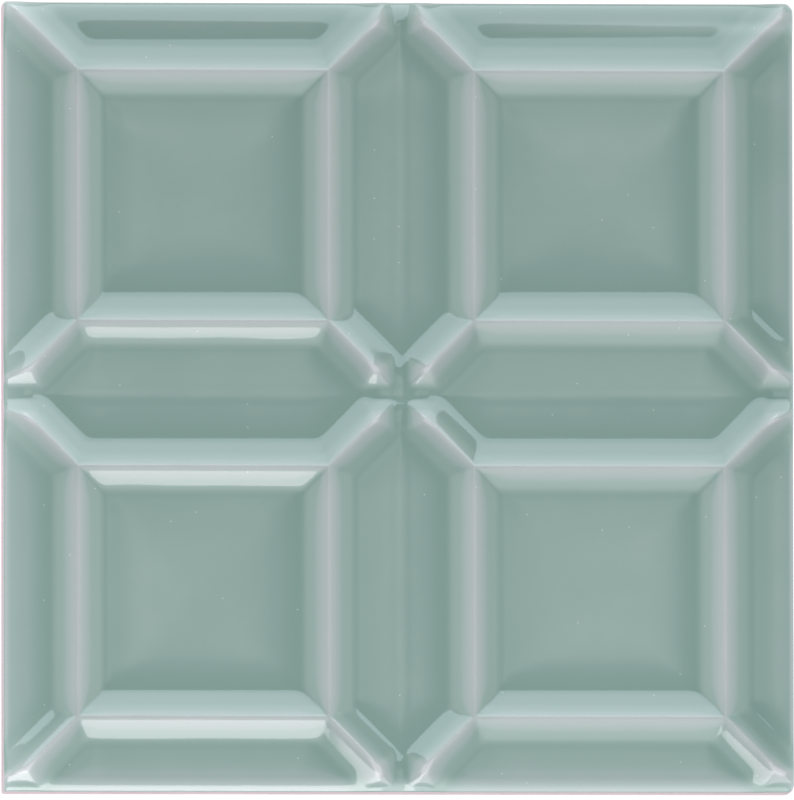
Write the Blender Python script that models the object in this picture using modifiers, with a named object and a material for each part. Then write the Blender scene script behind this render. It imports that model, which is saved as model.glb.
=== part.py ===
"""Square ceramic wall tile with a moulded relief, at its real size in metres.

The tile lies face up. +X runs to the right and +Y up the face as it is hung,
+Z is out of the glazed face, and the origin is the middle of the back.

The relief repeats on a square module, two modules each way. Each module holds
one raised square frame, and a ridge runs from each corner of the frame out
towards the corner of the module. Shallow grooves follow the lines between
modules, and the ridges end in blunt noses where they meet them. Every ridge
has the same section: a tight crest, straight flanks and a soft foot.
"""

import math

import bmesh
import bpy
from mathutils import Matrix, Vector

MM = 0.001

# Overall sizes
SIDE = 148.0 * MM  # glazed face, edge to edge
PROUD = 0.15 * MM  # the bare body stands this far out beyond the glazed face
BODY = 7.5 * MM  # from the back to the flat floors of the relief
RELIEF = 3.1 * MM  # from the floors up to the crests

# Relief pattern
MODULES = 2
MODULE = 74.2 * MM  # the rim cuts the pattern just short of two whole modules
OFFSET = (0.3 * MM, 0.4 * MM)  # of the pressed pattern from the middle of the face
FRAME_SIDE = 46.95 * MM  # between opposite crests of a raised square
DIAGONAL_RUN = (MODULE - FRAME_SIDE) / 2  # of a diagonal ridge, along X and along Y

# Section of a ridge, from its crest down to the floor
FLANK_TILT = math.radians(38.0)
CREST_RADIUS = 0.5 * MM
FOOT_RADIUS = 3.5 * MM
CREST_STEPS = 2
FLANK_STEPS = 4
FOOT_STEPS = 4

# Grooves along the lines between modules, where the ridges stop
GROOVE_HEIGHT = 0.7 * MM  # of its flat over the floors
GROOVE_START = 0.9 * MM  # half the width of its flat
GROOVE_BEND = 0.9 * MM  # over which the flat turns up into the sides
GROOVE_SLOPE = 0.75
# The outer lines' grooves lie this much further out, so the rim shows only their sides
GROOVE_SETBACKS = ((3.4 * MM, 1.7 * MM), (0.8 * MM, 3.0 * MM))  # left and right, bottom and top

# Outer edge of the face: it falls away towards each rim, over some distance,
# bent by a power of it and by some depth, and turns down in a lip
PILLOWS = {
    "left": (4.0 * MM, 2, 0.4 * MM),
    "right": (4.0 * MM, 2, 0.3 * MM),
    "bottom": (4.6 * MM, 3, 1.5 * MM),
    "top": (9.0 * MM, 4, 0.93 * MM),
}
LIP_RADIUS = 0.9 * MM

# Distances from each line between modules, and from the rim, at which the
# surface is cut so that grooves, pillows and lip can bend
GROOVE_CUTS = [a * MM for a in (0.0, 0.9, 1.2, 1.5, 1.8, 2.3, 2.8, 3.3, 3.8, 4.3)]
RIM_CUTS = [a * MM for a in (0.12, 0.4, 0.9, 1.5, 2.1, 2.7, 3.3, 4.0)]
TOP_CUTS = [a * MM for a in (5.0, 6.5)]

# Corners of the outline, in plan
CORNER_RADII = {(-1, 1): 0.65 * MM, (1, 1): 1.75 * MM, (1, -1): 1.5 * MM, (-1, -1): 0.35 * MM}

# Back and sides
SHOULDER = 4.9 * MM  # height up to which the sides stand proud of the face
ARRIS = 0.5 * MM  # chamfer round the back
KEY_ROWS = 6  # shallow recesses that key the tile to its adhesive
KEY_PITCH = 22.0 * MM
KEY_SIDE = 17.0 * MM
KEY_DEPTH = 0.7 * MM
KEY_TAPER = 0.7 * MM

GLAZE = (0.29, 0.40, 0.375)
BISCUIT = (0.60, 0.50, 0.51)


def clear_scene():
    for thing in list(bpy.data.objects):
        bpy.data.objects.remove(thing, do_unlink=True)


def collection(name):
    made = bpy.data.collections.new(name)
    bpy.context.scene.collection.children.link(made)
    return made


def material(name, colour, roughness, coat):
    made = bpy.data.materials.new(name)
    made.use_nodes = True
    shader = made.node_tree.nodes["Principled BSDF"]
    shader.inputs["Base Color"].default_value = (*colour, 1.0)
    shader.inputs["Roughness"].default_value = roughness
    shader.inputs["Metallic"].default_value = 0.0
    shader.inputs["Coat Weight"].default_value = coat
    made.diffuse_color = (*colour, 1.0)
    return made


def section():
    """Steps of (run, drop) from the crest out to the foot of a ridge."""
    points = []
    for i in range(CREST_STEPS + 1):
        tilt = FLANK_TILT * i / CREST_STEPS
        points.append((CREST_RADIUS * math.sin(tilt), CREST_RADIUS * (1 - math.cos(tilt))))
    crest_run, crest_drop = points[-1]
    foot_drop = FOOT_RADIUS * (1 - math.cos(FLANK_TILT))
    flank_drop = RELIEF - crest_drop - foot_drop
    flank_run = flank_drop / math.tan(FLANK_TILT)
    foot_end = crest_run + flank_run + FOOT_RADIUS * math.sin(FLANK_TILT)
    for i in range(1, FLANK_STEPS):
        share = i / FLANK_STEPS
        points.append((crest_run + flank_run * share, crest_drop + flank_drop * share))
    for i in range(FOOT_STEPS + 1):
        tilt = FLANK_TILT * (1 - i / FOOT_STEPS)
        run = foot_end - FOOT_RADIUS * math.sin(tilt)
        points.append((run, RELIEF - FOOT_RADIUS * (1 - math.cos(tilt))))
    return [(b[0] - a[0], b[1] - a[1]) for a, b in zip(points, points[1:])]


def to_groove(value, axis):
    """Distance from a coordinate to the middle of the nearest groove."""
    value -= OFFSET[axis]
    line = round(value / MODULE)
    away = abs(value - MODULE * line)
    return away + GROOVE_SETBACKS[axis][line > 0] if line else away


def groove_height(x, y):
    """Height over the floors that the grooves leave to the ridges at this point."""
    away = min(to_groove(x, 0), to_groove(y, 1)) - GROOVE_START
    away = max(away, 0.0)
    bent = min(away, GROOVE_BEND)
    return GROOVE_HEIGHT + GROOVE_SLOPE * (bent**2 / (2 * GROOVE_BEND) + away - bent)


def rim_drop(x, y):
    """How far the face has fallen at this point, towards the rim."""
    drop = 0.0
    half = SIDE / 2
    for side, inward in (("left", half + x), ("right", half - x), ("bottom", half + y), ("top", half - y)):
        run, power, depth = PILLOWS[side]
        drop = max(drop, depth * (1 - min(max(inward, 0.0) / run, 1.0)) ** power)
    inward = max(min(SIDE / 2 - abs(x), SIDE / 2 - abs(y)), 0.0)
    if inward < LIP_RADIUS:
        drop += LIP_RADIUS - math.sqrt(LIP_RADIUS**2 - (LIP_RADIUS - inward) ** 2)
    return drop


def rounded_plan(x, y):
    """Moves a point near a corner of the square outline onto its rounding."""
    for (sx, sy), radius in CORNER_RADII.items():
        a = sx * x - (SIDE / 2 - radius)
        b = sy * y - (SIDE / 2 - radius)
        if a > 0 and b > 0:
            pull = max(a, b) / math.hypot(a, b)
            return sx * (SIDE / 2 - radius + a * pull), sy * (SIDE / 2 - radius + b * pull)
    return x, y


def cut(bm, axis, place, clear=False):
    """Cuts the surface along one line across it; clear removes what lies further out."""
    normal = Vector((0, 0, 0))
    normal[axis] = 1.0 if place >= 0 else -1.0
    point = Vector((0, 0, 0))
    point[axis] = place
    bmesh.ops.bisect_plane(
        bm,
        geom=bm.verts[:] + bm.edges[:] + bm.faces[:],
        dist=1e-7,
        plane_co=point,
        plane_no=normal,
        clear_outer=clear,
    )


def relief_surface():
    """The glazed face as an open sheet, with its floors at the top of the body."""
    bm = bmesh.new()
    cells = MODULES + 2  # one module more all round, so that the edge basins are cut from whole ones
    bmesh.ops.create_grid(bm, x_segments=cells, y_segments=cells, size=cells * MODULE / 2)
    module_lines = [e for e in bm.edges if not e.is_boundary]

    # Each module's cell becomes the square inside its frame. The cut-off rim of
    # two neighbouring cells, with the line between them dissolved, is one basin.
    squares = list(bm.faces)
    bmesh.ops.inset_individual(bm, faces=squares, thickness=DIAGONAL_RUN, use_even_offset=True)
    bmesh.ops.dissolve_edges(bm, edges=[e for e in module_lines if e.is_valid], use_verts=False)

    # Every basin sinks along the section of the ridge
    bmesh.ops.translate(bm, vec=(*OFFSET, BODY + RELIEF), verts=bm.verts)
    basins = list(bm.faces)
    for run, drop in section():
        bmesh.ops.inset_individual(bm, faces=basins, thickness=run, depth=-drop, use_even_offset=True)

    for axis in (0, 1):
        for side in (-1, 1):
            cut(bm, axis, side * SIDE / 2, clear=True)
    for axis in (0, 1):
        for inward in RIM_CUTS:
            for side in (-1, 1):
                cut(bm, axis, side * (SIDE / 2 - inward))
        for away in GROOVE_CUTS:
            for side in (-1, 1) if away else (1,):
                cut(bm, axis, OFFSET[axis] + side * away)
    for inward in TOP_CUTS:
        cut(bm, 1, SIDE / 2 - inward)

    for v in bm.verts:
        x, y, z = v.co
        z = BODY + min(z - BODY, groove_height(x, y)) - rim_drop(x, y)
        v.co = (*rounded_plan(x, y), z)
    bmesh.ops.remove_doubles(bm, verts=bm.verts, dist=0.01 * MM)
    bmesh.ops.dissolve_limit(
        bm, angle_limit=math.radians(0.05), verts=bm.verts, edges=bm.edges
    )
    bmesh.ops.triangulate(bm, faces=bm.faces, quad_method="BEAUTY", ngon_method="BEAUTY")
    return bm


def tile_mesh():
    """The closed body: the face, four sides that stand a little proud, and the back."""
    bm = relief_surface()
    for face in bm.faces:
        face.material_index = 0
        face.smooth = True
    rim = [e for e in bm.edges if e.is_boundary]
    for out, level in ((PROUD, SHOULDER), (PROUD, ARRIS), (PROUD - ARRIS, 0.0)):
        grown = bmesh.ops.extrude_edge_only(bm, edges=rim)["geom"]
        rim = [g for g in grown if isinstance(g, bmesh.types.BMEdge)]
        share = (SIDE / 2 + out) / max(abs(v.co.x) for e in rim for v in e.verts)
        for v in {v for e in rim for v in e.verts}:
            v.co = (v.co.x * share, v.co.y * share, level)
        for face in (g for g in grown if isinstance(g, bmesh.types.BMFace)):
            face.material_index = 1
    back = bmesh.ops.contextual_create(bm, geom=rim)["faces"]
    for face in back:
        face.material_index = 1
    bmesh.ops.recalc_face_normals(bm, faces=bm.faces)
    mesh = bpy.data.meshes.new("relief_tile")
    bm.to_mesh(mesh)
    bm.free()
    return mesh


def key_cutter(cutters):
    """Tapered blocks, one for each recess of the back, in a square array."""
    bm = bmesh.new()
    depth = 2 * KEY_DEPTH
    bmesh.ops.create_cube(bm, size=1.0, matrix=Matrix.Diagonal((KEY_SIDE, KEY_SIDE, depth, 1.0)))
    for v in bm.verts:
        grow = KEY_TAPER if v.co.z < 0 else -KEY_TAPER
        v.co.x += math.copysign(grow, v.co.x)
        v.co.y += math.copysign(grow, v.co.y)
    mesh = bpy.data.meshes.new("back_keys_cutter")
    bm.to_mesh(mesh)
    bm.free()
    block = bpy.data.objects.new("back_keys_cutter", mesh)
    start = -KEY_PITCH * (KEY_ROWS - 1) / 2
    block.location = (start, start, 0.0)
    for axis in (0, 1):
        row = block.modifiers.new(f"row_{'xy'[axis]}", "ARRAY")
        row.count = KEY_ROWS
        row.use_relative_offset = False
        row.use_constant_offset = True
        offset = [0.0, 0.0, 0.0]
        offset[axis] = KEY_PITCH
        row.constant_offset_displace = offset
    block.hide_render = True
    block.display_type = "WIRE"
    cutters.objects.link(block)
    return block


def build():
    clear_scene()
    parts = collection("decorative_relief_tile")
    cutters = collection("cutters")
    tile = bpy.data.objects.new("relief_tile", tile_mesh())
    tile.data.materials.append(material("celadon_glaze", GLAZE, 0.12, 1.0))
    tile.data.materials.append(material("biscuit", BISCUIT, 0.85, 0.0))
    parts.objects.link(tile)
    keys = tile.modifiers.new("back_keys", "BOOLEAN")
    keys.operation = "DIFFERENCE"
    keys.solver = "EXACT"
    keys.object = key_cutter(cutters)


build()
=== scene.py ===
"""Looks of the square relief tile: its glazed face, biscuit sides and keyed back.

The face is a height surface with the same ridges, grooves and rim as the
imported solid, softened by the glaze that pools in every hollow and runs thin on
every crest. The depth of that pool is kept on the mesh and drives the colour.
Lengths in the modelling code are millimetres until the mesh is written.
"""

import math

import bmesh
import bpy
import numpy as np
from mathutils import Matrix, Vector

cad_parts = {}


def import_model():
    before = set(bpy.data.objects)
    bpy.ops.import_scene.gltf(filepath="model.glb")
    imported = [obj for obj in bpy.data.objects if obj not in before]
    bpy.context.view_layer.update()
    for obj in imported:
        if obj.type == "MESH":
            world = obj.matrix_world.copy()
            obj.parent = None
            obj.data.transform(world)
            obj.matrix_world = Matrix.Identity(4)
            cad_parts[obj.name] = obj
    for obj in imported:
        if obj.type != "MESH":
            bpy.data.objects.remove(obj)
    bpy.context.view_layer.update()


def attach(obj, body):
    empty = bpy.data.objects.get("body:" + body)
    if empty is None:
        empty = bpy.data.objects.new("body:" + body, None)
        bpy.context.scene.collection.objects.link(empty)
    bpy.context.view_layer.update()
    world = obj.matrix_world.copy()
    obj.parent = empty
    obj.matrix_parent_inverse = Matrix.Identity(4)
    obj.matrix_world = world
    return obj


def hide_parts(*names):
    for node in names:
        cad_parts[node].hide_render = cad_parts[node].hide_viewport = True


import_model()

MM = 0.001

# ------------------------------------------------------------------ sizes, mm
SIDE = 148.0
BODY = 7.5
RELIEF = 3.1
MODULE = 74.2
OFFSET = (0.3, 0.4)  # of the pressed pattern from the middle of the face
FRAME_SIDE = 46.95
# How the face falls to each rim: over what distance, how steeply bent, how far
PILLOWS = {
    "left": (4.0, 2, 0.4),
    "right": (4.0, 2, 0.3),
    "bottom": (4.1, 3, 1.35),
    "top": (6.5, 4, 0.8),
}
LIP_RADII = {"left": 0.9, "right": 0.9, "bottom": 0.3, "top": 0.9}
LIP_RADIUS = max(LIP_RADII.values())
GROOVE_HEIGHT, GROOVE_START, GROOVE_BEND, GROOVE_SLOPE = 0.7, 0.9, 0.9, 0.75
# The outer lines' grooves lie this much further out: left and right, bottom and top
GROOVE_SETBACKS = ((3.4, 1.7), (0.8, 3.0))
NOSE_SOFTNESS = 0.22  # where the ridges' noses turn down into the grooves
CORNER_RADII = {(-1, 1): 0.65, (1, 1): 1.75, (1, -1): 1.5, (-1, -1): 0.35}
PROUD = 0.15  # the biscuit body stands this far out beyond the glazed face
ARRIS = 0.5
KEY_ROWS, KEY_PITCH, KEY_SIDE, KEY_DEPTH, KEY_TAPER = 6, 22.0, 17.0, 0.7, 0.7

# Section of a ridge: its slope at distances from the crest line, down to the foot
SECTION = [(0.0, 0.0), (0.15, 0.30), (0.3, 0.48), (0.6, 0.61), (1.03, 0.70), (1.7, 0.745)]
SECTION += [(2.4, 0.745), (3.3, 0.70), (3.7, 0.67), (4.06, 0.61), (4.5, 0.40), (5.0, 0.17)]
SECTION += [(5.35, 0.11)]
FOOT_END = SECTION[-1][0]
MITRE_FILL = 0.075
MENISCUS, MENISCUS_REACH = 0.08, 0.8  # glaze climbing the foot
DISH, DISH_REACH = 0.03, 4.5  # floors are very slightly dished

# Glaze
CLAY_SOFTNESS = 0.1  # how far the mould's own edges are rounded
FILL_REACH = 0.4  # width of the glaze's own rounding in a hollow
POOL_REACH = 2.0  # distance over which glaze drains off crests into hollows
WAVE_HEIGHT = 0.006  # slow waviness of the fired surface

# Over what distance from each rim the glaze gets thinner, and by how much
RIM_THINNING = {"left": (1.6, 0.5), "right": (1.2, 0.5), "bottom": (1.3, 0.75), "top": (0.9, 0.5)}

# The view's lean off the tile's own axis, to the left and to the bottom
LEAN = (0.055, 0.070)


# ------------------------------------------------------------- height surface
def smooth(t):
    t = np.clip(t, 0, 1)
    return t * t * (3 - 2 * t)


def section_slope(d):
    """Slope of a ridge's side at a distance d from its crest."""
    beyond = np.maximum(d - FOOT_END, 0)
    floor = MENISCUS * np.exp(-beyond / MENISCUS_REACH) + DISH * np.exp(-beyond / DISH_REACH)
    return np.where(d < FOOT_END, np.interp(d, *zip(*SECTION)), floor)


RUNS = np.arange(0, 60, 0.01)
DROPS = np.cumsum(section_slope(RUNS)[::-1])[::-1]
DROPS *= RELIEF / DROPS[0]


def ridge_height(d):
    """Height over the floor at a distance d from the nearest crest line."""
    return np.interp(d, RUNS, DROPS)


def crest_distance(x, y):
    """Distance to the nearest crest line of the pattern."""
    x, y = x - OFFSET[0], y - OFFSET[1]
    a = np.abs(x - MODULE * (np.floor(x / MODULE) + 0.5))
    b = np.abs(y - MODULE * (np.floor(y / MODULE) + 0.5))
    far, near = np.maximum(a, b), np.minimum(a, b)
    inside = FRAME_SIDE / 2 - far
    outside = np.minimum(far - FRAME_SIDE / 2, (far - near) / math.sqrt(2))

    # Mitres between two sides are filled out, the more the lower down
    gap_in, gap_out = far - near, np.abs(far - FRAME_SIDE / 2 - (far - near) / math.sqrt(2))
    for distance, gap in ((inside, gap_in), (outside, gap_out)):
        soft = np.clip(MITRE_FILL * distance, 0.02, 1.2)
        distance -= soft * np.log1p(np.exp(-gap / soft)) * (distance > 0)
        np.maximum(distance, 0, out=distance, where=distance > -soft)
    return np.where(far < FRAME_SIDE / 2, inside, outside)


def groove_side(w, axis):
    """Height of a groove's flat and sides at a coordinate across the line between modules."""
    line = np.round((w - OFFSET[axis]) / MODULE)
    low, high = GROOVE_SETBACKS[axis]
    away = np.abs(w - OFFSET[axis] - MODULE * line) + np.where(line > 0, high, 0) + np.where(line < 0, low, 0)
    away = np.maximum(away - GROOVE_START, 0)
    bent = np.minimum(away, GROOVE_BEND)
    return GROOVE_HEIGHT + GROOVE_SLOPE * (bent**2 / (2 * GROOVE_BEND) + away - bent)


def lowest(*heights):
    """The least of some heights, with the bends between them softened."""
    return -NOSE_SOFTNESS * np.log(sum(np.exp(-h / NOSE_SOFTNESS) for h in heights))


def rim_distances(x, y):
    return {"left": SIDE / 2 + x, "right": SIDE / 2 - x, "bottom": SIDE / 2 + y, "top": SIDE / 2 - y}


def pillow_drop(x, y):
    """How far the face has fallen towards the rim, before the lip."""
    drop = 0
    for name, inward in rim_distances(x, y).items():
        run, bend, depth = PILLOWS[name]
        drop = np.maximum(drop, depth * np.clip(1 - inward / run, 0, 1) ** bend)
    return drop


def lip_drop(x, y):
    """How far the rounded lip has fallen, at the very rim."""
    drop = 0
    for name, inward in rim_distances(x, y).items():
        radius = LIP_RADII[name]
        short = radius - np.clip(inward, 0, radius)
        drop = np.maximum(drop, radius - np.sqrt(radius**2 - short**2))
    return drop


def mould(x, y):
    """The pressed face before the glaze, over the floors of the relief."""
    ridge = ridge_height(crest_distance(x, y))
    return lowest(ridge, groove_side(x, 0), groove_side(y, 1)) - pillow_drop(x, y)


FINE = np.arange(-(SIDE / 2 + 8.0), SIDE / 2 + 8.05, 0.1)
MOULD = mould(FINE[:, None], FINE[None, :])


def weights(at, reach):
    w = np.exp(-0.5 * ((at[:, None] - FINE[None, :]) / reach) ** 2)
    return w / w.sum(axis=1, keepdims=True)


def spread(xs, ys, reach):
    """The mould's height averaged over a Gaussian of this reach, at a grid of points."""
    return weights(xs, reach) @ MOULD @ weights(ys, reach).T


def slow_noise(xs, ys, reach, seed):
    """Smooth noise of unit height, from seeded values on a coarse grid."""
    places = np.arange(-(SIDE / 2 + 4 * reach), SIDE / 2 + 4 * reach, reach * 0.8)
    values = np.random.default_rng(seed).normal(size=(len(places), len(places)))

    def near(at):
        w = np.exp(-0.5 * ((at[:, None] - places[None, :]) / reach) ** 2)
        return w / np.sqrt((w**2).sum(axis=1, keepdims=True))

    return near(xs) @ values @ near(ys).T


def glazed_face(xs, ys):
    """(height over the back, depth of the glaze pool) at a grid of points."""
    clay = spread(xs, ys, CLAY_SOFTNESS)
    fill = np.maximum(spread(xs, ys, FILL_REACH) - clay, 0)
    wave = WAVE_HEIGHT * slow_noise(xs, ys, 5.0, 11) + 0.0008 * slow_noise(xs, ys, 1.2, 12)
    edge = lip_drop(xs[:, None], ys[None, :])
    wave = wave + 0.015 * slow_noise(xs, ys, 4.0, 13) * smooth(clay / 1.5)
    height = BODY + clay + 0.85 * fill + wave * np.clip(1 - edge / LIP_RADIUS, 0, 1) - edge
    pool = spread(xs, ys, POOL_REACH) - clay
    for name, inward in rim_distances(xs[:, None], ys[None, :]).items():
        run, thinned = RIM_THINNING[name]
        pool = pool - thinned * smooth(1 - inward / run)
    if len(xs) > 1:  # more glaze has stayed on the flanks that were uppermost in the kiln
        pool = pool + 0.4 * smooth(-np.gradient(height, ys, axis=1) / 0.3)
    return np.minimum(height, BODY + RELIEF), pool


def paleness(xs, ys, height):
    """How much paler the glaze is made, by place and by facing.

    It is paler towards the left and bottom rims. Along the top rim the added paleness is painted reflection of
    the overhead light. On the flanks it is a painted sheen, growing towards the sides. It is paler on the left
    half's right-facing and up-facing flanks and on the right half's left-facing flanks. It is darker on the left
    half's left-facing flanks and on the right half's right-facing and up-facing flanks.
    """
    x, y = np.meshgrid(xs, ys, indexing="ij")
    left, right, bottom, top = SIDE / 2 + x, SIDE / 2 - x, SIDE / 2 + y, SIDE / 2 - y
    rim = np.maximum(
        0.13 * np.clip(1 - left / 11.0, 0, 1) ** 1.7 * smooth(left),
        0.085 * smooth((3.2 - bottom) / 2.7) * smooth(bottom / 0.3),
    )
    rim = rim - 0.024 * np.exp(-(((right - 6) / 3) ** 2)) + 0.02 * smooth((2.6 - right) / 2)
    # Painted reflection of the overhead light: paler along the top rim, and in a band 4.7 mm in from it that
    # strengthens towards the right.
    rim = rim + 0.08 * np.clip(1 - top / 3.2, 0, 1) * smooth(top / 0.4)
    rim = rim + 0.075 * np.exp(-(((top - 4.7) / 1.2) ** 2)) * smooth((x - 6) / 50)
    # Painted sheen: the flanks are made paler or darker by which way they face and which half they lie in, as
    # reflections fall, not by glaze thickness.
    slope_x = np.gradient(height, xs, axis=0)
    slope_y = np.gradient(height, ys, axis=1)
    painted_flank_sheen = 0.024 * smooth(-slope_x / 0.5) - 0.012 * smooth(slope_x / 0.5)
    painted_flank_sheen = painted_flank_sheen + 0.010 * smooth(-slope_y / 0.5)
    upper = smooth(-slope_y / 0.3) * smooth((2.9 - crest_distance(x, y)) / 1.5)
    lines = [np.abs(w - o - MODULE * np.round((w - o) / MODULE)) for w, o in zip((x, y), OFFSET)]
    node = np.exp(-((lines[0] / 2.2) ** 2) - (lines[1] / 2.2) ** 2)
    node = node * smooth((1.2 - height + BODY) / 0.5)
    painted_flank_sheen = painted_flank_sheen * np.clip(x / 60, -1, 1) * smooth(np.minimum(left, right) / 2)
    return rim + 0.045 * upper + 0.012 * node - painted_flank_sheen


def bareness(xs, ys, height):
    """Where the crests show through: a narrow matt line, plainest on their upper side."""
    x, y = np.meshgrid(xs, ys, indexing="ij")
    away = crest_distance(x, y)
    facing = np.clip(np.gradient(height, ys, axis=1) / 0.3, -1, 1)  # -1 up the face, 1 down it
    width = 0.25 + 0.3 * np.maximum(facing, 0)
    share = 0.6 + 0.6 * np.maximum(-facing, 0) - 0.15 * np.maximum(facing, 0)
    return share * np.exp(-((away / width) ** 2)) * smooth((height - BODY - 2.0) / 0.7)


def face_lines(offset):
    """Where the face's grid lines run: close on ridges, wide on the square floors."""
    ridge = (MODULE - FRAME_SIDE) / 2
    half = list(np.linspace(0, ridge - 1.0, 40)[:-1])  # zone of the diagonals
    half += list(np.linspace(ridge - 1.0, ridge + 1.0, 11)[:-1])  # a frame's crest
    half += list(np.linspace(ridge + 1.0, ridge + 6.6, 17)[:-1])  # flank and foot inside the frame
    half += list(np.linspace(ridge + 6.6, MODULE / 2, 8))
    half = np.array(half)
    module = np.concatenate([half, MODULE - half[:-1][::-1]])
    lines = np.concatenate([module - MODULE, module[1:]])
    lip = SIDE / 2 - LIP_RADIUS * (1 - np.sin(np.radians([90, 76, 62, 48, 34, 20, 8])))
    lines = lines + offset
    inner = lines[np.abs(lines) < SIDE / 2 - LIP_RADIUS - 0.05]
    return np.concatenate([-lip, inner, lip[::-1]])


def rounded_plan(x, y):
    """Moves points near the corners of the square outline onto their roundings."""
    x, y = x.copy(), y.copy()
    for (sx, sy), radius in CORNER_RADII.items():
        a, b = sx * x - (SIDE / 2 - radius), sy * y - (SIDE / 2 - radius)
        at = (a > 0) & (b > 0)
        pull = np.maximum(a, b)[at] / np.hypot(a[at], b[at])
        x[at] = sx * (SIDE / 2 - radius + a[at] * pull)
        y[at] = sy * (SIDE / 2 - radius + b[at] * pull)
    return x, y


def face_mesh():
    """The glazed face as an open sheet of triangles."""
    xs, ys = (face_lines(o) for o in OFFSET)
    height, pool = glazed_face(xs, ys)
    centre, _ = glazed_face((xs[1:] + xs[:-1]) / 2, (ys[1:] + ys[:-1]) / 2)
    x, y = np.meshgrid(xs, ys, indexing="ij")
    px, py = rounded_plan(x, y)
    points = np.stack([px, py, height], axis=-1).reshape(-1, 3) * MM

    # Each cell is split along the diagonal that follows the ridge best
    index = np.arange(height.size).reshape(height.shape)
    a, b, c, d = index[:-1, :-1], index[1:, :-1], index[1:, 1:], index[:-1, 1:]
    za, zb, zc, zd = height[:-1, :-1], height[1:, :-1], height[1:, 1:], height[:-1, 1:]
    along = np.abs((za + zc) / 2 - centre) <= np.abs((zb + zd) / 2 - centre)
    first = np.where(along[..., None], np.stack([a, b, c], -1), np.stack([a, b, d], -1))
    second = np.where(along[..., None], np.stack([a, c, d], -1), np.stack([b, c, d], -1))
    faces = np.concatenate([first.reshape(-1, 3), second.reshape(-1, 3)])

    mesh = bpy.data.meshes.new("relief_tile_fired")
    mesh.from_pydata(points.tolist(), [], faces.tolist())
    for name, values in (
        ("pool", pool),
        ("pale", paleness(xs, ys, height)),
        ("bare", bareness(xs, ys, height)),
    ):
        layer = mesh.attributes.new(name, "FLOAT", "POINT")
        layer.data.foreach_set("value", values.astype(np.float32).ravel())
    return mesh


def tile_object():
    mesh = face_mesh()
    bm = bmesh.new()
    bm.from_mesh(mesh)
    for face in bm.faces:
        face.smooth = True

    # Sides: under the lip the bare body stands a little proud, down to a soft arris
    ring = [e for e in bm.edges if e.is_boundary]
    shift = 0.0
    for out, to_side, level in (
        (0.03, 0.02, 5.0),
        (0.08, 0.04, 4.9),
        (PROUD - 0.05, 0.05, 4.7),
        (PROUD - 0.05, 0.05, ARRIS + 0.15),
        (PROUD - 0.19, 0.05, ARRIS * 0.4),
        (PROUD - 0.05 - ARRIS, 0.05, 0.0),
    ):
        grown = bmesh.ops.extrude_edge_only(bm, edges=ring)["geom"]
        ring = [g for g in grown if isinstance(g, bmesh.types.BMEdge)]
        around = {v for e in ring for v in e.verts}
        share = (SIDE / 2 + out) / (max(abs(v.co.x) for v in around) / MM - shift)
        for v in around:
            x, y = ((c + shift * MM) * share - to_side * MM for c in v.co.xy)
            v.co = (x, y, level * MM)
        shift = to_side
        for face in (g for g in grown if isinstance(g, bmesh.types.BMFace)):
            face.material_index = 1
            face.smooth = True

    # Back: a grid of shallow recesses with soft shoulders
    before, known = set(bm.verts), set(bm.faces)
    bmesh.ops.create_grid(
        bm, x_segments=KEY_ROWS, y_segments=KEY_ROWS, size=KEY_ROWS * KEY_PITCH / 2 * MM
    )
    cells = [f for f in bm.faces if f not in known]
    rib = (KEY_PITCH - KEY_SIDE) / 2 - KEY_TAPER / 2
    for thickness, depth in ((rib, 0.0), (0.22, -0.06), (0.35, -0.29), (0.35, -0.29), (0.3, -0.06)):
        bmesh.ops.inset_individual(
            bm, faces=cells, thickness=thickness * MM, depth=depth * MM, use_even_offset=True
        )
    for v in (v for v in bm.verts if v not in before):
        v.co.z = -v.co.z
        for face in v.link_faces:
            face.material_index = 1
    rims = [e for e in bm.edges if e.is_boundary]
    filled = bmesh.ops.triangle_fill(bm, edges=rims, use_beauty=True)["geom"]
    for face in (g for g in filled if isinstance(g, bmesh.types.BMFace)):
        face.material_index = 1
    bmesh.ops.recalc_face_normals(bm, faces=bm.faces)
    bm.to_mesh(mesh)
    bm.free()
    mesh.set_sharp_from_angle(angle=math.radians(55))
    piece = bpy.data.objects.new("relief_tile_fired", mesh)
    bpy.context.scene.collection.objects.link(piece)
    return piece


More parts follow.
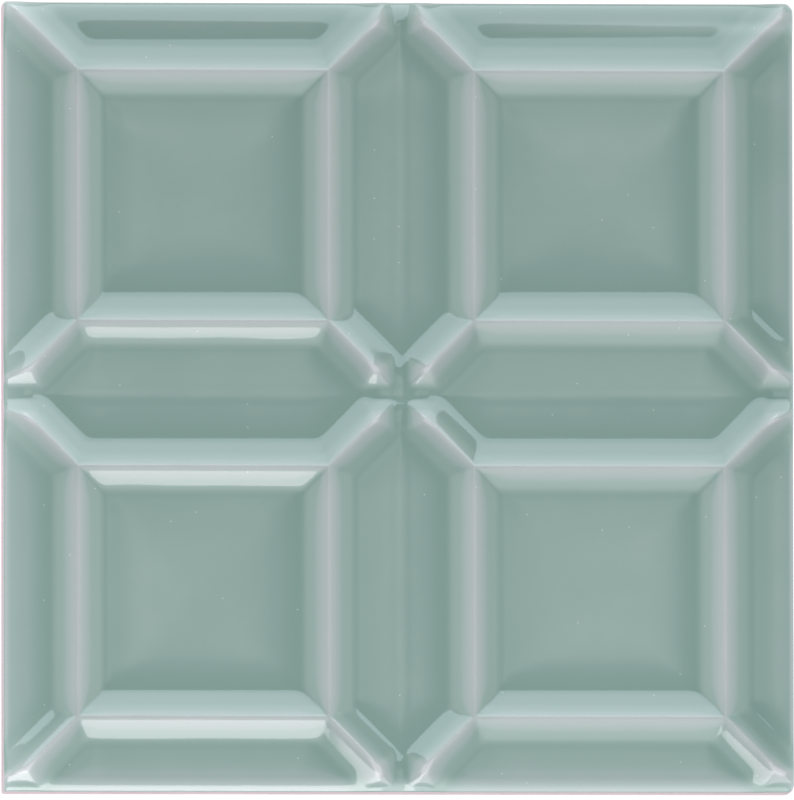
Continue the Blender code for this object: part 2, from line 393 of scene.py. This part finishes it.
# ------------------------------------------------------------------ node trees
class Tree:
    """Small helper that adds nodes to one node tree and wires them up."""

    def __init__(self, tree):
        self.tree = tree

    def add(self, kind, **settings):
        node = self.tree.nodes.new(kind)
        for name, value in settings.items():
            setattr(node, name, value)
        return node

    def link(self, source, target):
        self.tree.links.new(source, target)

    def value(self, node, name, value):
        if hasattr(value, "is_linked"):
            self.link(value, node.inputs[name])
        else:
            node.inputs[name].default_value = value

    def math(self, operation, a, b=0.0, clamp=False):
        node = self.add("ShaderNodeMath", operation=operation, use_clamp=clamp)
        self.value(node, 0, a)
        self.value(node, 1, b)
        return node.outputs[0]

    def remap(self, value, low, high, to_low=0.0, to_high=1.0, kind="LINEAR"):
        node = self.add("ShaderNodeMapRange", interpolation_type=kind)
        for name, v in (
            ("Value", value),
            ("From Min", low),
            ("From Max", high),
            ("To Min", to_low),
            ("To Max", to_high),
        ):
            self.value(node, name, v)
        return node.outputs["Result"]

    def noise(self, place, scale, detail=2.0, roughness=0.5):
        node = self.add("ShaderNodeTexNoise")
        self.link(place, node.inputs["Vector"])
        node.inputs["Scale"].default_value = scale
        node.inputs["Detail"].default_value = detail
        node.inputs["Roughness"].default_value = roughness
        return node.outputs["Fac"]

    def ramp(self, value, stops):
        node = self.add("ShaderNodeValToRGB")
        elements = node.color_ramp.elements
        while len(elements) < len(stops):
            elements.new(0.5)
        for element, (at, colour) in zip(elements, stops):
            element.position = at
            element.color = (*colour, 1.0) if hasattr(colour, "__len__") else (colour,) * 3 + (1.0,)
        self.link(value, node.inputs["Fac"])
        return node.outputs["Color"]

    def mix(self, share, a, b, blend="MIX"):
        node = self.add("ShaderNodeMix", data_type="RGBA", blend_type=blend, clamp_factor=False)
        self.value(node, 0, share)
        for name, v in ((6, a), (7, b)):
            self.value(node, name, v if hasattr(v, "is_linked") else (*v, 1.0))
        return node.outputs[2]


def new_material(name):
    made = bpy.data.materials.new(name)
    made.use_nodes = True
    return made, Tree(made.node_tree), made.node_tree.nodes["Principled BSDF"]


def srgb(r, g, b):
    """Linear colour of an sRGB one given in 0-255."""
    return tuple(
        (c / 255 / 12.92) if c / 255 <= 0.04045 else ((c / 255 + 0.055) / 1.055) ** 2.4
        for c in (r, g, b)
    )


DEEP = (0.2153, 0.3229, 0.2949)  # the glaze where it has pooled
THIN = (0.400, 0.440, 0.452)  # the pinkish body showing through where it is thin
BARE = (0.53, 0.565, 0.59)  # the same, along the very crests


def between(share):
    return tuple(a + (b - a) * share for a, b in zip(DEEP, THIN))


def glaze_material():
    made, m, shader = new_material("celadon_glaze")
    place = m.add("ShaderNodeTexCoord").outputs["Object"]
    pool = m.add("ShaderNodeAttribute", attribute_name="pool").outputs["Fac"]
    pale = m.add("ShaderNodeAttribute", attribute_name="pale").outputs["Fac"]
    mottle = m.remap(m.noise(place, 160.0, 3.0, 0.55), 0.0, 1.0, -0.05, 0.05)
    depth = m.math("ADD", pool, mottle)
    stops = [(-0.88, 1.0), (-0.72, 0.68), (-0.51, 0.54), (-0.35, 0.44), (-0.13, 0.26), (0.0, 0.06)]
    stops = [(at, between(share)) for at, share in stops + [(0.12, 0.0)]]
    colour = m.ramp(
        m.remap(depth, -1.0, 0.5),
        [((at + 1.0) / 1.5, colour) for at, colour in [(-0.985, BARE)] + stops],
    )
    bare = m.add("ShaderNodeAttribute", attribute_name="bare").outputs["Fac"]
    colour = m.mix(m.math("MULTIPLY", bare, 0.5), colour, BARE)
    grain = m.noise(place, 3600.0, 2.0, 0.6)
    thin = m.remap(pool, -0.9, -0.2, 0.2, 0.0)
    colour = m.mix(m.math("MULTIPLY", thin, m.remap(grain, 0.56, 0.7)), colour, srgb(188, 172, 176))
    light = m.math("MULTIPLY", bare, m.remap(grain, 0.46, 0.34))
    colour = m.mix(m.math("MULTIPLY", light, 0.25), colour, (0.72, 0.76, 0.78))
    # Adds the paleness map: paler rims, plus painted reflection along the top rim and painted sheen on the
    # flanks.
    colour = m.mix(pale, colour, (0.90, 0.97, 1.0), "ADD")

    # A few pinholes, each a tiny pale ring of light
    cells = m.add("ShaderNodeTexVoronoi", voronoi_dimensions="2D", feature="F1")
    m.link(place, cells.inputs["Vector"])
    cells.inputs["Scale"].default_value = 210.0
    pick = m.add("ShaderNodeSeparateColor")
    m.link(cells.outputs["Color"], pick.inputs[0])
    hole = m.remap(cells.outputs["Distance"], 0.032, 0.018)
    hole = m.math("MULTIPLY", hole, m.math("LESS_THAN", pick.outputs[0], 0.07))
    colour = m.mix(m.math("MULTIPLY", hole, 0.45), colour, (0.75, 0.8, 0.8))
    # Painted light: the glaze colour is made 6 % brighter at the bottom rim and 6 % darker at the top, as a near
    # lamp's falloff across the face.
    up = m.add("ShaderNodeSeparateXYZ")
    m.link(place, up.inputs[0])
    colour = m.mix(1.0, colour, m.remap(up.outputs["Y"], -0.074, 0.074, 1.06, 0.94), "MULTIPLY")
    m.link(colour, shader.inputs["Base Color"])
    gloss = m.remap(m.noise(place, 90.0), 0.3, 0.7, 0.05, 0.08)
    m.link(m.math("ADD", gloss, m.math("MULTIPLY", bare, 0.3)), shader.inputs["Roughness"])
    shader.inputs["IOR"].default_value = 1.5
    bump = m.add("ShaderNodeBump")
    bump.inputs["Strength"].default_value = 1.0
    bump.inputs["Distance"].default_value = 0.000002
    m.link(m.noise(place, 420.0), bump.inputs["Height"])
    m.link(bump.outputs["Normal"], shader.inputs["Normal"])
    return made


def biscuit_material():
    made, m, shader = new_material("bare_biscuit")
    place = m.add("ShaderNodeTexCoord").outputs["Object"]
    cloud = m.noise(place, 60.0, 4.0, 0.6)
    colour = m.ramp(cloud, [(0.3, srgb(196, 177, 184)), (0.7, srgb(208, 191, 197))])
    grain = m.noise(place, 2600.0, 3.0, 0.65)
    colour = m.mix(m.remap(grain, 0.35, 0.75, 0.0, 0.35), colour, srgb(176, 156, 160))
    m.link(colour, shader.inputs["Base Color"])
    shader.inputs["Roughness"].default_value = 0.85
    bump = m.add("ShaderNodeBump")
    bump.inputs["Strength"].default_value = 1.0
    bump.inputs["Distance"].default_value = 0.00006
    m.link(grain, bump.inputs["Height"])
    m.link(bump.outputs["Normal"], shader.inputs["Normal"])
    return made


def floor_material():
    made, m, shader = new_material("studio_floor")
    shader.inputs["Base Color"].default_value = (0.9, 0.9, 0.9, 1.0)
    shader.inputs["Roughness"].default_value = 0.9
    shader.inputs["Specular IOR Level"].default_value = 0.0
    shader.inputs["Emission Color"].default_value = (1.0, 1.0, 1.0, 1.0)
    shader.inputs["Emission Strength"].default_value = 0.35
    return made


# ---------------------------------------------------------------------- stage
def floor():
    """A wide floor, open under the tile so that its back can be seen from below."""
    mesh = bpy.data.meshes.new("studio_floor")
    around = ((-1, -1), (1, -1), (1, 1), (-1, 1))
    points = [(sx * reach, sy * reach, 0.0) for reach in (6.0, 0.0734) for sx, sy in around]
    faces = [(i, (i + 1) % 4, 4 + (i + 1) % 4, 4 + i) for i in range(4)]
    mesh.from_pydata(points, [], faces)
    made = bpy.data.objects.new("studio_floor", mesh)
    made.data.materials.append(floor_material())
    bpy.context.scene.collection.objects.link(made)


def panel_light(name, corner, along, up, radiance, colour=(1.0, 1.0, 1.0)):
    """A flat soft light for reflections: one corner, its two edges and the brightness of its face."""
    data = bpy.data.lights.new(name, "AREA")
    data.shape = "RECTANGLE"
    along, up = Vector(along), Vector(up)
    data.size, data.size_y = along.length, up.length
    data.energy = radiance * math.pi * data.size * data.size_y
    data.color = colour
    made = bpy.data.objects.new(name, data)
    made.location = Vector(corner) + (along + up) / 2
    x, y = along.normalized(), up.normalized()
    made.rotation_mode = "QUATERNION"
    made.rotation_quaternion = Matrix((x, y, x.cross(y))).transposed().to_quaternion()
    made.visible_camera = False
    made.visible_diffuse = False
    bpy.context.scene.collection.objects.link(made)
    return made


def camera():
    """Nearly straight on, with a slight lean from the lower left, through a very long lens."""
    data = bpy.data.cameras.new("camera")
    data.lens = 1400.0
    data.sensor_width = 36.0
    made = bpy.data.objects.new("camera", data)
    back = Vector((-LEAN[0], -LEAN[1], 1.0)).normalized()
    target = Vector((-0.00033, -0.000585, BODY * MM))
    made.location = target + back * (800 / 5.3455 * MM * data.lens / data.sensor_width)
    right = Vector((0, 1, 0)).cross(back).normalized()
    turn = Matrix.Rotation(math.radians(-0.087), 3, back)
    right, up = turn @ right, turn @ back.cross(right)
    made.rotation_mode = "QUATERNION"
    made.rotation_quaternion = Matrix((right, up, back)).transposed().to_quaternion()
    data.clip_start, data.clip_end = 0.1, 50.0
    bpy.context.scene.collection.objects.link(made)
    bpy.context.scene.camera = made


def world():
    """A soft white tent. In the gloss its walls stand round a darker opening overhead.

    The tent is laid out by the slope of the surface that would mirror it to the
    lens of the main view: nothing in it depends on where the camera really is.
    """
    made = bpy.data.worlds.new("studio")
    made.use_nodes = True
    w = Tree(made.node_tree)
    way = w.add("ShaderNodeSeparateXYZ")
    w.link(w.add("ShaderNodeTexCoord").outputs["Generated"], way.inputs[0])
    high = w.math("ADD", way.outputs["Z"], 1.0)
    across = w.math("DIVIDE", w.math("SUBTRACT", way.outputs["X"], LEAN[0]), high)
    along = w.math("DIVIDE", w.math("SUBTRACT", way.outputs["Y"], LEAN[1]), high)
    left, down = w.math("MULTIPLY", across, -1.0), w.math("MULTIPLY", along, -1.0)

    def wall(slope, low, high, bright):
        return w.remap(slope, low, high, 0.0, bright, "SMOOTHSTEP")

    walls = w.math("MAXIMUM", wall(left, 0.1, 0.75, 2.3), wall(across, 0.08, 0.55, 1.9))
    walls = w.math("MAXIMUM", walls, wall(down, 0.06, 0.8, 4.2))
    walls = w.math("MAXIMUM", walls, wall(along, 0.15, 0.5, 1.2))
    slant = w.math("MINIMUM", w.math("MAXIMUM", across, left), w.math("MAXIMUM", along, down))
    walls = w.math("MULTIPLY", walls, w.remap(slant, 0.2, 0.45, 1.0, 0.5))

    # The paler patch overhead, with a soft end towards the left and the top
    to_left = [(-0.06, 0.03), (-0.026, 0.08), (-0.0166, 0.2), (-0.0098, 0.4), (-0.0044, 0.66)]
    to_left += [(-0.001, 0.97), (0.003, 0.97), (0.0095, 0.62), (0.02, 0.62), (0.04, 0.72), (0.06, 0.75)]
    to_top = [(-0.06, 0.05), (-0.02, 0.08), (-0.0098, 0.1), (-0.0044, 0.55), (-0.001, 0.97)]
    to_top += [(0.003, 0.97), (0.0095, 0.7), (0.02, 0.74), (0.04, 0.8), (0.06, 0.75)]
    patch = None
    for slope, ends in ((across, to_left), (down, to_top)):
        share = w.ramp(
            w.remap(slope, -0.06, 0.06), [((at + 0.06) / 0.12, level) for at, level in ends]
        )
        patch = share if patch is None else w.math("MULTIPLY", patch, share)
    patch = w.math("MULTIPLY", patch, 2.3)
    for slope, keep in ((across, 0.4), (down, 0.6)):
        patch = w.math("MULTIPLY", patch, w.remap(slope, 0.05, 0.14, 1.0, keep))
        patch = w.math("MULTIPLY", patch, w.remap(slope, 0.2, 0.4, 1.0, 0.0))
    gloss = w.math("ADD", w.math("ADD", walls, patch), 0.05)
    rays = w.add("ShaderNodeLightPath")
    seen = w.math("ADD", 1.05, w.math("MULTIPLY", rays.outputs["Is Glossy Ray"], w.math("SUBTRACT", gloss, 1.05)))
    w.link(seen, made.node_tree.nodes["Background"].inputs["Strength"])
    made.node_tree.nodes["Background"].inputs["Color"].default_value = (1.0, 1.0, 1.0, 1.0)
    made.cycles.sampling_method = "NONE"
    bpy.context.scene.world = made


tile = tile_object()
tile.data.materials.append(glaze_material())
tile.data.materials.append(biscuit_material())
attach(tile, "root")
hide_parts("relief_tile")

floor()
world()
camera()
panel_light(
    "top_softbox", (-0.5665, 0.3174, 0.53), (0.8165, -0.2024, 0), (0.122, 0.36, -0.58), 3.0, (0.86, 1.0, 1.12)
)
panel_light(
    "low_left_strip", (-0.20, -0.25, 0.02), (0.205, 0, 0), (0, 0, 0.122), 4.7, (1.0, 0.95, 0.97)
)

bpy.context.scene.view_settings.view_transform = "Standard"
